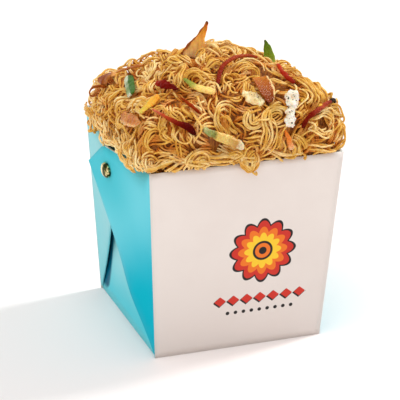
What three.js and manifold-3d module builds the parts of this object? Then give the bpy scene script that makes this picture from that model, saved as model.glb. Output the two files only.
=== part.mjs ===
// Noodle takeaway box: an open folded-card food pail, heaped with fried glass
// noodles and scattered vegetables. Millimetres, +Z up. X runs along the
// printed front panel, Y from front to back, and the origin is the middle of
// the base. The sides at -X and +X carry the folded corner webs and a stud.

import * as THREE from 'three';
import { mergeVertices } from 'three/addons/utils/BufferGeometryUtils.js';
import Module from 'manifold-3d';

const wasm = await Module();
wasm.setup();

// Carton
const height = 100;
const base = { halfX: 43.75, halfY: 43.5 };
const rim = { halfX: 49.75, halfY: 50 };
const board = 0.5;
const doubledBoard = 0.9;        // a corner web folded in two
const wallInset = 0.9;           // side wall behind the outer face of the webs
const gap = 0.3;                 // between touching pieces

// Corner web, in its own plane: u leaves the corner edge, h climbs along it
const webAngle = THREE.MathUtils.degToRad(41);
const webFold = 104.5;             // length of the diagonal fold, corner to tip
const webPeak = { u: 50.5, h: 94.9 };
const webTop = 100.2;
const webFoot = 0.55;            // depth of the web's middle at the corner edge
const frontLean = 0.138;         // the outer web stands off in a straight line
const backLean = { slope: 0.06, curve: 0.0012 };
const webSpacing = 1.1;          // between the middles of the two webs
const webBlend = 0.4;
const webColumns = 20;
const webRows = 3;

// Stud that pins the two webs together
const stud = { up: 86, across: -3, headR: 4, headH: 2.6, edgeH: 0.7, shankR: 1.4, footR: 2.5, footH: 0.6 };
const studFootDepth = 2.7;
const studHoleClear = 0.35;

// Noodle heap
const heap = { halfX: 52, halfY: 52, rise: 38.5, corner: 9, crown: 1.5, steep: 0.33 };
const heapTilt = { x: 0.05, y: -0.2 };
const heapLumps = [
  { x: 0, y: 8, spread: 15, rise: 4.6 },
  { x: 28, y: 14, spread: 14, rise: -3.4 },
  { x: 34, y: -18, spread: 14, rise: -1.9 },
];
const ripple = { rise: 0.9, wave: 13 };
const heapFoot = 100.4;
const heapHeart = new THREE.Vector3(0, 0, 88);
const heapColumns = 60;
const heapRings = 18;

const colours = {
  carton: 0x63c6d6,
  stud: 0xc9a65c,
  noodle: 0xc58e4c,
  crispShallot: 0xc07a28,
  brownPeel: 0x9c5a24,
  springOnion: 0x7fa860,
  redOnion: 0x7c2620,
  goldPepper: 0xdda43a,
  redPepper: 0xb5401c,
  eggWhite: 0xf0e8da,
};

const group = new THREE.Group();

function finish(colour, roughness = 0.6, metalness = 0) {
  return new THREE.MeshStandardMaterial({ color: colour, roughness, metalness });
}

function addMesh(name, geometry, material) {
  const mesh = new THREE.Mesh(geometry, material);
  mesh.name = name;
  group.add(mesh);
  return mesh;
}

// Manifold conversion, both ways

function toSolid(geometry) {
  const bare = geometry.clone();
  bare.deleteAttribute('normal');
  bare.deleteAttribute('uv');
  const merged = mergeVertices(bare, 1e-5);
  return new wasm.Manifold(new wasm.Mesh({
    numProp: 3,
    vertProperties: new Float32Array(merged.attributes.position.array),
    triVerts: new Uint32Array(merged.index.array),
  }));
}

function toGeometry(solid) {
  const mesh = solid.getMesh();
  const geometry = new THREE.BufferGeometry();
  geometry.setAttribute('position', new THREE.BufferAttribute(mesh.vertProperties, 3));
  geometry.setIndex(new THREE.BufferAttribute(mesh.triVerts, 1));
  return geometry;
}

function meshFrom(points, triangles) {
  const geometry = new THREE.BufferGeometry();
  geometry.setAttribute('position', new THREE.Float32BufferAttribute(points.flat(), 3));
  geometry.setIndex(triangles);
  return geometry;
}

// Two equal grids of points, outer and inner, closed round their edge.
function slabFromGrids(outer, inner) {
  const rows = outer.length;
  const columns = outer[0].length;
  const points = [...outer.flat(), ...inner.flat()];
  const at = (side, i, j) => side * rows * columns + i * columns + j;
  const triangles = [];
  const quad = (a, b, c, d) => triangles.push(a, b, c, a, c, d);
  for (let i = 0; i + 1 < rows; i += 1) {
    for (let j = 0; j + 1 < columns; j += 1) {
      quad(at(0, i, j), at(0, i + 1, j), at(0, i + 1, j + 1), at(0, i, j + 1));
      quad(at(1, i, j), at(1, i, j + 1), at(1, i + 1, j + 1), at(1, i + 1, j));
    }
  }
  for (let i = 0; i + 1 < rows; i += 1) {
    quad(at(0, i, 0), at(1, i, 0), at(1, i + 1, 0), at(0, i + 1, 0));
    quad(at(0, i, columns - 1), at(0, i + 1, columns - 1), at(1, i + 1, columns - 1), at(1, i, columns - 1));
  }
  for (let j = 0; j + 1 < columns; j += 1) {
    quad(at(0, 0, j), at(0, 0, j + 1), at(1, 0, j + 1), at(1, 0, j));
    quad(at(0, rows - 1, j), at(1, rows - 1, j), at(1, rows - 1, j + 1), at(0, rows - 1, j + 1));
  }
  return meshFrom(points, triangles);
}

// Carton walls

function halfAt(z) {
  const t = z / height;
  return {
    x: base.halfX + (rim.halfX - base.halfX) * t,
    y: base.halfY + (rim.halfY - base.halfY) * t,
  };
}

// A tapered block between z0 and z1, with x and y limits given at each level.
function taperedBlock(z0, z1, limits) {
  const geometry = new THREE.BoxGeometry(2, 2, 2);
  const position = geometry.attributes.position;
  for (let i = 0; i < position.count; i += 1) {
    const z = position.getZ(i) > 0 ? z1 : z0;
    const { x, y } = limits(z);
    position.setXYZ(i, position.getX(i) > 0 ? x[1] : x[0], position.getY(i) > 0 ? y[1] : y[0], z);
  }
  return toSolid(geometry);
}

function tub(inset, wall, z0, z1) {
  return taperedBlock(z0, z1, (z) => {
    const half = halfAt(z);
    const x = half.x - inset - wall;
    const y = half.y - wall;
    return { x: [-x, x], y: [-y, y] };
  });
}

function panel(side) {
  return taperedBlock(0, height, (z) => {
    const half = halfAt(z);
    const faces = [side * half.y, side * (half.y - board)].sort((a, b) => a - b);
    return { x: [-half.x, half.x], y: faces };
  });
}

// Left side plane: y across, s up the slope, n outwards.
const slope = Math.hypot(height, rim.halfX - base.halfX);
const slopeUp = new THREE.Vector3(-(rim.halfX - base.halfX), 0, height).divideScalar(slope);
const slopeOut = new THREE.Vector3(-height, 0, -(rim.halfX - base.halfX)).divideScalar(slope);
const flare = rim.halfY - base.halfY;
const edgeLength = Math.hypot(slope, flare);
const edgeUp = { y: -flare / edgeLength, s: slope / edgeLength };
const edgeIn = { y: slope / edgeLength, s: flare / edgeLength };

function sidePoint(y, s, n) {
  return new THREE.Vector3(-base.halfX, y, 0)
    .addScaledVector(slopeUp, s)
    .addScaledVector(slopeOut, n);
}

function webReach(y, s) {
  return (y + base.halfY) * edgeIn.y + s * edgeIn.s;
}

function frontStand(y, s) {
  return -webFoot + frontLean * webReach(y, s);
}

// The inner web follows its own lean, then tucks under the outer one.
function backStand(y, s) {
  const u = webReach(-y, s);
  const own = -webFoot + backLean.slope * u + backLean.curve * u * u;
  const under = frontStand(y, s) - webSpacing;
  return -webBlend * Math.log(Math.exp(-own / webBlend) + Math.exp(-under / webBlend));
}

// Outline of a web in the side plane, for the front one.
function webCorner(u, h) {
  const shorten = Math.cos(Math.atan(frontLean));
  return {
    y: -base.halfY + u * shorten * edgeIn.y + h * edgeUp.y,
    s: u * shorten * edgeIn.s + h * edgeUp.s,
  };
}

const webOutline = {
  foot: webCorner(0, 0),
  tip: webCorner(webFold * Math.sin(webAngle), webFold * Math.cos(webAngle)),
  peak: webCorner(webPeak.u, webPeak.h),
  top: webCorner(0, webTop),
};

function between(from, to, y) {
  return from.s + (to.s - from.s) * (y - from.y) / (to.y - from.y);
}

function web(isBack) {
  const { foot, tip, peak, top } = webOutline;
  const stand = isBack ? backStand : frontStand;
  const side = isBack ? -1 : 1;
  const start = top.y + board / 4;
  const end = tip.y - board / 4;
  const grids = { outer: [], inner: [] };
  for (let j = 0; j <= webColumns; j += 1) {
    const y = start + (end - start) * j / webColumns;
    const low = y < foot.y ? between(top, foot, y) : between(foot, tip, y);
    const high = y < peak.y ? between(top, peak, y) : between(peak, tip, y);
    const rowOuter = [];
    const rowInner = [];
    for (let i = 0; i <= webRows; i += 1) {
      const s = low + (high - low) * i / webRows;
      const n = stand(side * y, s);
      rowOuter.push(sidePoint(side * y, s, n + doubledBoard / 2).toArray());
      rowInner.push(sidePoint(side * y, s, n - doubledBoard / 2).toArray());
    }
    grids.outer.push(rowOuter);
    grids.inner.push(rowInner);
  }
  return toSolid(isBack
    ? slabFromGrids(grids.outer, grids.inner)
    : slabFromGrids(grids.inner, grids.outer));
}

// The stud stands square to the outer web.
function studFrame() {
  const centre = sidePoint(stud.across, stud.up, frontStand(stud.across, stud.up));
  const axis = slopeOut.clone()
    .addScaledVector(new THREE.Vector3(0, 1, 0), -frontLean * edgeIn.y)
    .addScaledVector(slopeUp, -frontLean * edgeIn.s)
    .normalize();
  const turn = new THREE.Quaternion().setFromUnitVectors(new THREE.Vector3(0, 1, 0), axis);
  return new THREE.Matrix4().compose(centre, turn, new THREE.Vector3(1, 1, 1));
}

function studGeometry() {
  const seat = doubledBoard / 2 + gap;
  const profile = [new THREE.Vector2(0, seat + stud.headH)];
  const domeSteps = 6;
  for (let i = 1; i <= domeSteps; i += 1) {
    const angle = Math.PI / 2 * i / domeSteps;
    const r = stud.headR * Math.sin(angle);
    const a = seat + stud.edgeH + (stud.headH - stud.edgeH) * Math.cos(angle);
    profile.push(new THREE.Vector2(r, a));
  }
  profile.push(new THREE.Vector2(stud.headR, seat));
  profile.push(new THREE.Vector2(stud.shankR, seat));
  profile.push(new THREE.Vector2(stud.shankR, -studFootDepth));
  profile.push(new THREE.Vector2(stud.footR, -studFootDepth));
  profile.push(new THREE.Vector2(stud.footR, -studFootDepth - stud.footH));
  profile.push(new THREE.Vector2(0, -studFootDepth - stud.footH));
  return new THREE.LatheGeometry(profile.reverse(), 20);
}

function mirrored(solid) {
  return solid.mirror([1, 0, 0]);
}

function carton() {
  const hole = new THREE.CylinderGeometry(stud.shankR + studHoleClear, stud.shankR + studHoleClear, 8, 20);
  hole.applyMatrix4(studFrame());
  const leftWebs = web(false).add(web(true)).subtract(toSolid(hole));
  return tub(wallInset, 0, 0, height)
    .subtract(tub(wallInset, board, board, height + 1))
    .add(panel(-1))
    .add(panel(1))
    .add(leftWebs)
    .add(mirrored(leftWebs));
}

// Heap surface

function heapReach(x, y) {
  const n = heap.corner;
  return ((Math.abs(x) / heap.halfX) ** n + (Math.abs(y) / heap.halfY) ** n) ** (1 / n);
}

function heapTop(x, y) {
  const reach = Math.min(heapReach(x, y), 1);
  let z = heap.rise * (1 - reach ** heap.crown) ** heap.steep;
  z *= 1 + (heapTilt.x * x + heapTilt.y * y) / 50;
  const fade = Math.min(1, 6 * (1 - reach));
  for (const lump of heapLumps) {
    const away = (x - lump.x) ** 2 + (y - lump.y) ** 2;
    z += lump.rise * fade * Math.exp(-away / (2 * lump.spread ** 2));
  }
  const wave = 2 * Math.PI / ripple.wave;
  z += ripple.rise * fade * Math.sin(wave * x + 0.6 * Math.cos(wave * y)) * Math.cos(wave * 0.8 * y);
  return heapFoot + z;
}

// Nearest heap surface along the line from the heap's heart through a point.
function settle(point) {
  const ray = point.clone().sub(heapHeart);
  let low = 0.4;
  let high = 2.5;
  for (let i = 0; i < 40; i += 1) {
    const middle = (low + high) / 2;
    const probe = heapHeart.clone().addScaledVector(ray, middle);
    const inside = heapReach(probe.x, probe.y) < 1 && probe.z < heapTop(probe.x, probe.y);
    if (inside) low = middle;
    else high = middle;
  }
  return heapHeart.clone().addScaledVector(ray, low);
}

function heapNormal(point) {
  const reach = 2;
  const side = new THREE.Vector3(1, 0, 0);
  const radial = point.clone().sub(heapHeart).normalize();
  if (Math.abs(radial.x) > 0.8) side.set(0, 1, 0);
  const a = side.clone().cross(radial).normalize();
  const b = radial.clone().cross(a).normalize();
  const across = settle(point.clone().addScaledVector(a, reach))
    .sub(settle(point.clone().addScaledVector(a, -reach)));
  const along = settle(point.clone().addScaledVector(b, reach))
    .sub(settle(point.clone().addScaledVector(b, -reach)));
  const normal = across.cross(along).normalize();
  return normal.dot(radial) < 0 ? normal.negate() : normal;
}

function squareRing(reachX, reachY, zOf) {
  const ring = [];
  const n = heap.corner;
  for (let i = 0; i < heapColumns; i += 1) {
    const angle = 2 * Math.PI * (i + 0.5) / heapColumns;
    const c = Math.cos(angle);
    const s = Math.sin(angle);
    const k = (Math.abs(c) ** n + Math.abs(s) ** n) ** (-1 / n);
    const x = reachX * k * c;
    const y = reachY * k * s;
    ring.push([x, y, zOf(x, y)]);
  }
  return ring;
}

// Rings of equal count from one pole to the other, closed into a body.
function closedRings(firstPole, rings, lastPole) {
  const count = rings[0].length;
  const points = [firstPole, ...rings.flat(), lastPole];
  const last = points.length - 1;
  const at = (k, i) => 1 + k * count + (i % count);
  const triangles = [];
  for (let i = 0; i < count; i += 1) {
    triangles.push(0, at(0, i + 1), at(0, i));
    triangles.push(last, at(rings.length - 1, i), at(rings.length - 1, i + 1));
    for (let k = 0; k + 1 < rings.length; k += 1) {
      triangles.push(at(k, i), at(k, i + 1), at(k + 1, i + 1));
      triangles.push(at(k, i), at(k + 1, i + 1), at(k + 1, i));
    }
  }
  return meshFrom(points, triangles);
}

function heapGeometry() {
  const rings = [];
  for (const z of [board + gap, heapFoot - 0.05]) {
    const half = halfAt(Math.min(z, height));
    rings.push(squareRing(half.x - wallInset - board - gap, half.y - board - gap, () => z));
  }
  for (let k = 0; k < heapRings; k += 1) {
    const rise = (k / heapRings) ** 0.8;
    const reach = (1 - rise ** (1 / heap.steep)) ** (1 / heap.crown);
    rings.push(squareRing(reach * heap.halfX, reach * heap.halfY, heapTop));
  }
  return closedRings([0, 0, board + gap], rings, [0, 0, heapTop(0, 0)]);
}

// Toppings: a strip swept along a path, with its width, thickness and cup

function profileAt(values, t) {
  const place = t * (values.length - 1);
  const i = Math.min(Math.floor(place), values.length - 2);
  const blend = place - i;
  const eased = blend * blend * (3 - 2 * blend);
  return values[i] + (values[i + 1] - values[i]) * eased;
}

function strip(topping, grow = 0) {
  const { points, widths, thick, cup = 0, lift = 0.6, stands = false, facing } = topping;
  const anchors = points.map((p) => new THREE.Vector3(...p));
  const normals = anchors.map((p) => (stands ? new THREE.Vector3(...facing).normalize() : heapNormal(p)));
  const route = stands ? anchors : anchors.map((p, i) => settle(p)
    .addScaledVector(normals[i], lift + thick / 2));
  const curve = new THREE.CatmullRomCurve3(route, false, 'catmullrom', 0.5);
  const stretch = grow / curve.getLength();
  const ringCount = topping.rings ?? 9;
  const sides = topping.sides ?? 8;
  const rings = [];
  const pointAt = (t) => {
    const inside = THREE.MathUtils.clamp(t, 0, 1);
    const point = curve.getPoint(inside);
    return point.addScaledVector(curve.getTangent(inside), (t - inside) * curve.getLength());
  };
  for (let k = 0; k < ringCount; k += 1) {
    const t = k / (ringCount - 1);
    const spread = -stretch + (1 + 2 * stretch) * (0.03 + 0.94 * t);
    const tangent = curve.getTangent(t);
    const normal = new THREE.Vector3(
      profileAt(normals.map((n) => n.x), t),
      profileAt(normals.map((n) => n.y), t),
      profileAt(normals.map((n) => n.z), t),
    );
    const side = normal.clone().cross(tangent).normalize();
    normal.copy(tangent).cross(side).normalize();
    const halfWidth = profileAt(widths, t) / 2 + grow;
    const halfThick = Math.min(thick / 2, profileAt(widths, t) / 2) + grow;
    const centre = pointAt(spread);
    const ring = [];
    for (let i = 0; i < sides; i += 1) {
      const angle = 2 * Math.PI * (i + 0.5) / sides;
      const across = Math.cos(angle) * halfWidth;
      const above = Math.sin(angle) * halfThick + cup * Math.cos(angle) ** 2;
      ring.push(centre.clone().addScaledVector(side, across).addScaledVector(normal, above).toArray());
    }
    rings.push(ring);
  }
  return closedRings(pointAt(-stretch).toArray(), rings, pointAt(1 + stretch).toArray());
}

const toppings = {
  shallot_shard: {
    colour: colours.crispShallot, stands: true, facing: [0.25, -0.95, 0.15],
    points: [[-9.5, 4, 137], [-6.6, 3.6, 145], [-2.4, 3, 154.5]],
    widths: [14.5, 13, 5.5, 1.2], thick: 1.3, cup: 1.2,
  },
  shallot_tail: {
    colour: colours.crispShallot,
    points: [[-15, 8, 139], [-19, 7, 138], [-24, 5, 136]],
    widths: [5, 4.2, 2.4], thick: 1.4, cup: 0.4,
  },
  brown_curl: {
    colour: colours.brownPeel,
    points: [[-46, 35, 117], [-44.5, 30, 120], [-43.5, 24, 120]],
    widths: [3.6, 6.2, 4], thick: 1.2, cup: -1.2, lift: 1.2,
  },
  brown_ribbon: {
    colour: colours.brownPeel,
    points: [[-41, 25, 123], [-36, 20, 127], [-31, 11, 131]],
    widths: [2, 2.8, 1.6], thick: 1.2,
  },
  spring_onion_chunk: {
    colour: colours.springOnion,
    points: [[-39, 13, 126], [-42, 1, 125], [-44, -9, 124]],
    widths: [6, 6.6, 5.4], thick: 2, cup: -0.6,
  },
  red_onion_bit: {
    colour: colours.redOnion,
    points: [[-34, -17, 131], [-32.5, -26, 133], [-30, -33, 133]],
    widths: [3.4, 5, 3], thick: 1.6, cup: 0.4,
  },
  gold_strip_left: {
    colour: colours.goldPepper,
    points: [[-38, -31, 130], [-41.5, -31, 128], [-46, -31, 123]],
    widths: [3.6, 4.6, 3], thick: 2,
  },
  green_tipped_strip: {
    colour: colours.goldPepper,
    points: [[-25, -25, 136], [-22, -34, 134], [-18, -37, 133], [-13, -38, 132]],
    widths: [1.6, 3.6, 4.6, 3.2], thick: 2.2,
  },
  red_onion_arc: {
    colour: colours.redOnion, rings: 12, lift: 0.3,
    points: [[-11, -35, 134], [-7, -28, 137], [-3, -22, 139], [5, -16, 140], [13, -14.6, 140], [17, -17, 139]],
    widths: [2.2, 2.6, 2.6, 2.6, 2.2, 1.4], thick: 1.8,
  },
  green_wedge: {
    colour: colours.springOnion, stands: true, facing: [-0.2, -0.95, 0.1],
    points: [[37, 15, 124], [36, 15.5, 130], [33.8, 16, 138]],
    widths: [6, 6.4, 5.2, 1.2], thick: 1.8, cup: 0.5,
  },
  chilli_strip: {
    colour: colours.redPepper,
    points: [[24, -23, 137], [25, -31, 135], [27, -38, 132]],
    widths: [2.6, 4, 3.4], thick: 2,
  },
  shallot_petal: {
    colour: colours.brownPeel,
    points: [[11.5, -33, 135], [10.5, -40.5, 131.5], [12, -45.5, 126.5]],
    widths: [9, 10.5, 4], thick: 1.4, cup: 1.6, lift: 1.2,
  },
  white_piece_upper: {
    colour: colours.eggWhite,
    points: [[24.5, -43.2, 130.2], [22, -47, 124.5]],
    widths: [7, 8.4, 7], thick: 2.6, rings: 6,
  },
  white_piece_lower: {
    colour: colours.eggWhite,
    points: [[20.6, -48.4, 122.4], [20.3, -49.8, 117]],
    widths: [6, 7, 5.6], thick: 2.6, rings: 6,
  },
  pale_piece: {
    colour: colours.eggWhite,
    points: [[0.5, -41.2, 131.5], [4, -43, 130], [7.2, -45.5, 127.5]],
    widths: [3, 5, 3.6], thick: 1.6,
  },
  curled_red_onion: {
    colour: colours.redOnion, rings: 12, lift: 0.3,
    points: [[27, -51, 115], [31, -50, 120], [37, -48, 122.5], [44, -44, 124], [48, -41, 123]],
    widths: [2.8, 3.4, 3.4, 3, 1.8], thick: 2.2,
  },
  red_onion_left: {
    colour: colours.redOnion, rings: 12,
    points: [[-43, -36, 126], [-40, -43.5, 125], [-36, -47, 123], [-31, -49, 121], [-27, -50, 117]],
    widths: [1.6, 2.4, 2.8, 3.6, 2.6], thick: 2,
  },
  chilli_thread: {
    colour: colours.redPepper,
    points: [[-31, -39, 131.5], [-27, -43, 128.5], [-23, -46, 125]],
    widths: [1.6, 2.4, 1.6], thick: 1.6,
  },
  brown_petal_left: {
    colour: colours.brownPeel,
    points: [[-49.5, -13, 115], [-49, -25, 117.5], [-48, -35, 119.5]],
    widths: [6, 8, 5], thick: 1.4, cup: 0.8,
  },
  pepper_strip: {
    colour: colours.goldPepper, rings: 11,
    points: [[-24, -50, 120], [-18, -51, 116.5], [-12, -51.5, 114], [-3.5, -52, 109.5]],
    widths: [3.6, 5, 5.4, 4.4], thick: 3,
  },
  chilli_strip_right: {
    colour: colours.redPepper,
    points: [[17.5, -51, 115], [19.5, -52, 110.5], [21, -52, 105.5]],
    widths: [2, 3.4, 3.8], thick: 2,
  },
};

// Build

const studMatrix = studFrame();
const studLeft = toSolid(studGeometry().applyMatrix4(studMatrix));

addMesh('carton', toGeometry(carton()), finish(colours.carton, 0.45));
addMesh('stud_left', toGeometry(studLeft), finish(colours.stud, 0.25, 1));
addMesh('stud_right', toGeometry(mirrored(studLeft)), finish(colours.stud, 0.25, 1));

let noodleHeap = toSolid(heapGeometry());
for (const topping of Object.values(toppings)) {
  noodleHeap = noodleHeap.subtract(toSolid(strip(topping, gap)));
}
addMesh('noodle_heap', toGeometry(noodleHeap), finish(colours.noodle, 0.5));

for (const [name, topping] of Object.entries(toppings)) {
  addMesh(name, strip(topping), finish(topping.colour, 0.4));
}

export default group;
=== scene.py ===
import math

import bmesh
import bpy
import numpy as np
from mathutils import Matrix, Vector, noise
from mathutils.bvhtree import BVHTree


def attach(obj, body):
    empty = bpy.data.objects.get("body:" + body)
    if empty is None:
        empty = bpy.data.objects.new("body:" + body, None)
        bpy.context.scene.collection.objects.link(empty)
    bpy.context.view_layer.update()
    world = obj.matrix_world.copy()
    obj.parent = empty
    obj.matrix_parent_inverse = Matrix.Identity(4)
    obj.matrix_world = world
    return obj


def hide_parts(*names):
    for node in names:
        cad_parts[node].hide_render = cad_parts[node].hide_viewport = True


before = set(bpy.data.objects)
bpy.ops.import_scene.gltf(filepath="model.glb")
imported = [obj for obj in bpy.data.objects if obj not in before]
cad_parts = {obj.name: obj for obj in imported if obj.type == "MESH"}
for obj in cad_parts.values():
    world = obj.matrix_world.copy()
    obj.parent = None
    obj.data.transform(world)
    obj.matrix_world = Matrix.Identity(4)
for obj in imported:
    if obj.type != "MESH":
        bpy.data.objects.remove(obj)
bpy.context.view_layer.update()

# Lengths in this script are millimetres until a mesh is made
mm = 0.001
print("frame loaded")


# shader helpers

class Wire:
    # one socket, or one number, that can be written in an expression
    def __init__(self, finish, socket):
        self.finish = finish
        self.socket = socket

    def maths(self, operation, *others):
        return self.finish.add("ShaderNodeMath", {"operation": operation}, dict(enumerate((self, *others))))

    def __add__(self, other):
        return self.maths("ADD", other)

    def __sub__(self, other):
        return self.maths("SUBTRACT", other)

    def __rsub__(self, other):
        return self * -1 + other

    def __mul__(self, other):
        return self.maths("MULTIPLY", other)

    __radd__ = __add__
    __rmul__ = __mul__

    def size(self):
        return self.maths("ABSOLUTE")

    # 0 below low, 1 above high, also with low above high
    def step(self, low, high):
        return self.finish.add("ShaderNodeMapRange", {"interpolation_type": "SMOOTHSTEP"},
                               {"Value": self, "From Min": low, "From Max": high})


class Finish:
    def __init__(self, name, **constants):
        self.material = bpy.data.materials.new(name)
        self.material.use_nodes = True
        self.tree = self.material.node_tree
        self.tree.nodes.clear()
        self.shader = self.tree.nodes.new("ShaderNodeBsdfPrincipled")
        output = self.tree.nodes.new("ShaderNodeOutputMaterial")
        self.tree.links.new(self.shader.outputs[0], output.inputs["Surface"])
        self.where = None
        for key, value in constants.items():
            self.shader.inputs[key.replace("_", " ")].default_value = value

    # any node, from its type, settings and inputs; gives its first output or the named one
    def add(self, kind, settings=None, inputs=None, out=0):
        node = self.tree.nodes.new(kind)
        for key, value in (settings or {}).items():
            if key == "stops":
                self.fillRamp(node.color_ramp, value)
            else:
                setattr(node, key, value)
        for key, value in (inputs or {}).items():
            self.feed(node.inputs[key], value)
        return Wire(self, node.outputs[out])

    def fillRamp(self, ramp, stops):
        while len(ramp.elements) < len(stops):
            ramp.elements.new(0.5)
        for element, (place, colour) in zip(ramp.elements, stops):
            element.position = place
            element.color = colour

    def feed(self, socket, value):
        if isinstance(value, Wire):
            self.tree.links.new(value.socket, socket)
        else:
            socket.default_value = value

    def place(self):
        if self.where is None:
            self.where = self.add("ShaderNodeTexCoord", out="Object")
        return self.where

    # x, y and z in millimetres
    def axes(self):
        node = self.add("ShaderNodeSeparateXYZ", inputs={0: self.place()}).socket.node
        return [Wire(self, socket) * (1 / mm) for socket in node.outputs]

    def attribute(self, name):
        return self.add("ShaderNodeAttribute", {"attribute_name": name}, out="Fac")

    # noise with its grain in millimetres
    def grain(self, across, detail=3, stretch=(1, 1, 1)):
        scale = tuple(1 / mm / across / s for s in stretch)
        vector = self.add("ShaderNodeMapping", inputs={"Vector": self.place(), "Scale": scale})
        inputs = {"Vector": vector, "Scale": 1.0, "Detail": detail, "Roughness": 0.55}
        return self.add("ShaderNodeTexNoise", inputs=inputs)

    def blend(self, amount, first, second, mode="MIX"):
        return self.add("ShaderNodeMix", {"data_type": "RGBA", "blend_type": mode, "clamp_factor": True},
                        {0: amount, 6: first, 7: second}, out=2)

    def bump(self, height, depth):
        inputs = {"Height": height, "Distance": depth * mm, "Strength": 1.0}
        return self.add("ShaderNodeBump", inputs=inputs)

    def use(self, **inputs):
        for key, value in inputs.items():
            self.feed(self.shader.inputs[key.replace("_", " ")], value)
        return self.material


# 8-bit screen colour to the shader's linear values
def rgb(red, green, blue):
    linear = []
    for level in (red, green, blue):
        c = level / 255
        linear.append(c / 12.92 if c <= 0.04045 else ((c + 0.055) / 1.055) ** 2.4)
    return (*linear, 1.0)


# mesh helpers

def addObject(name, data):
    piece = bpy.data.objects.new(name, data)
    bpy.context.scene.collection.objects.link(piece)
    return piece


def makePiece(name, points, faces, materials, faceMaterials=None, smooth=True):
    mesh = bpy.data.meshes.new(name)
    mesh.from_pydata([tuple(float(c) * mm for c in p) for p in points], [], [list(f) for f in faces])
    for material in materials:
        mesh.materials.append(material)
    if faceMaterials is not None:
        mesh.polygons.foreach_set("material_index", np.array(faceMaterials, dtype=np.int32))
    mesh.polygons.foreach_set("use_smooth", np.full(len(mesh.polygons), smooth))
    mesh.update()
    return addObject(name, mesh)


def settle(piece, slot, node):
    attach(piece, "root")
    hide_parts(node)
    return piece


def applyModifiers(piece):
    view = bpy.context.evaluated_depsgraph_get()
    mesh = bpy.data.meshes.new_from_object(piece.evaluated_get(view), depsgraph=view)
    piece.modifiers.clear()
    old = piece.data
    piece.data = mesh
    mesh.name = old.name
    bpy.data.meshes.remove(old)
    return piece


def roundOff(piece):
    smooth = piece.modifiers.new("smooth", "SUBSURF")
    smooth.levels = smooth.render_levels = 2
    return applyModifiers(piece)


# camera, light and floor

cameraSettings = dict(yaw=-20.572, pitch=22.315, roll=1.037, distance=1053.57, aside=-4.818, above=10.431,
                      aimHeight=50, lens=187.5)
lightSettings = dict(sky=0.6, backdrop=1.05, key=1.7, keySize=9, keyFrom=(1.0, 0.18, 0.95), fill=1.3,
                     fillSize=60, fillFrom=(-0.6, -0.35, 1.5), floor=(0.93, 0.875, 0.86))


def makeCamera(s):
    yaw, pitch, roll = (math.radians(s[k]) for k in ("yaw", "pitch", "roll"))
    back = Vector((math.sin(yaw) * math.cos(pitch), -math.cos(yaw) * math.cos(pitch), math.sin(pitch)))
    level = Vector((math.cos(yaw), math.sin(yaw), 0))
    up = back.cross(level)
    right = level * math.cos(roll) + up * math.sin(roll)
    top = up * math.cos(roll) - level * math.sin(roll)
    place = Vector((0, 0, s["aimHeight"])) + back * s["distance"] + right * s["aside"] + top * s["above"]
    data = bpy.data.cameras.new("camera")
    data.lens = s["lens"]
    data.clip_start = 0.05
    camera = addObject("camera", data)
    camera.matrix_world = Matrix.Translation(place * mm) @ Matrix((right, top, back)).transposed().to_4x4()
    bpy.context.scene.camera = camera


def makeSun(name, towards, strength, size):
    data = bpy.data.lights.new(name, "SUN")
    data.energy = strength
    data.angle = math.radians(size)
    addObject(name, data).rotation_euler = Vector(towards).to_track_quat("Z", "Y").to_euler()


def makeStudio(s):
    world = bpy.data.worlds.new("studio")
    world.use_nodes = True
    nodes, link = world.node_tree.nodes, world.node_tree.links.new
    soft = nodes["Background"]
    soft.inputs["Strength"].default_value = s["sky"]
    seen, mix, path = (nodes.new("ShaderNode" + kind) for kind in ("Background", "MixShader", "LightPath"))
    seen.inputs["Strength"].default_value = s["backdrop"]
    for shade in (soft, seen):
        shade.inputs["Color"].default_value = (1, 1, 1, 1)
    link(path.outputs["Is Camera Ray"], mix.inputs[0])
    link(soft.outputs[0], mix.inputs[1])
    link(seen.outputs[0], mix.inputs[2])
    link(mix.outputs[0], nodes["World Output"].inputs["Surface"])
    bpy.context.scene.world = world
    bpy.context.scene.view_settings.view_transform = "Standard"
    makeSun("key", s["keyFrom"], s["key"], s["keySize"])
    makeSun("fill", s["fillFrom"], s["fill"], s["fillSize"])
    reach, level = 3000, -0.05
    corners = [(a * reach, b * reach, level) for a, b in ((-1, -1), (1, -1), (1, 1), (-1, 1))]
    white = Finish("floorWhite", Roughness=0.9, Base_Color=(*s["floor"], 1))
    makePiece("floor", corners, [(0, 1, 2, 3)], [white.material])


makeCamera(cameraSettings)
makeStudio(lightSettings)
print("camera and light made")


# carton

# u runs along the base from a web's own corner, h up its edge; the lean, slope and curve are its stand-off
carton = dict(height=100, baseX=43.75, baseY=43.5, rimX=49.75, rimY=50, board=0.5, ply=0.42, inset=0.9,
              webAngle=41, webFold=104.5, peakU=50.5, peakH=94.9, webTop=100.2, webFoot=0.55, webGap=0.47,
              frontLean=0.138, backSlope=0.06, backCurve=0.0012, webSpacing=1.1, webBlend=0.4, bulge=0.5,
              belly=1.5, bellyU=22, bellyUp=28)


def halfAt(z):
    t = z / carton["height"]
    return (carton["baseX"] + (carton["rimX"] - carton["baseX"]) * t,
            carton["baseY"] + (carton["rimY"] - carton["baseY"]) * t)


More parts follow.
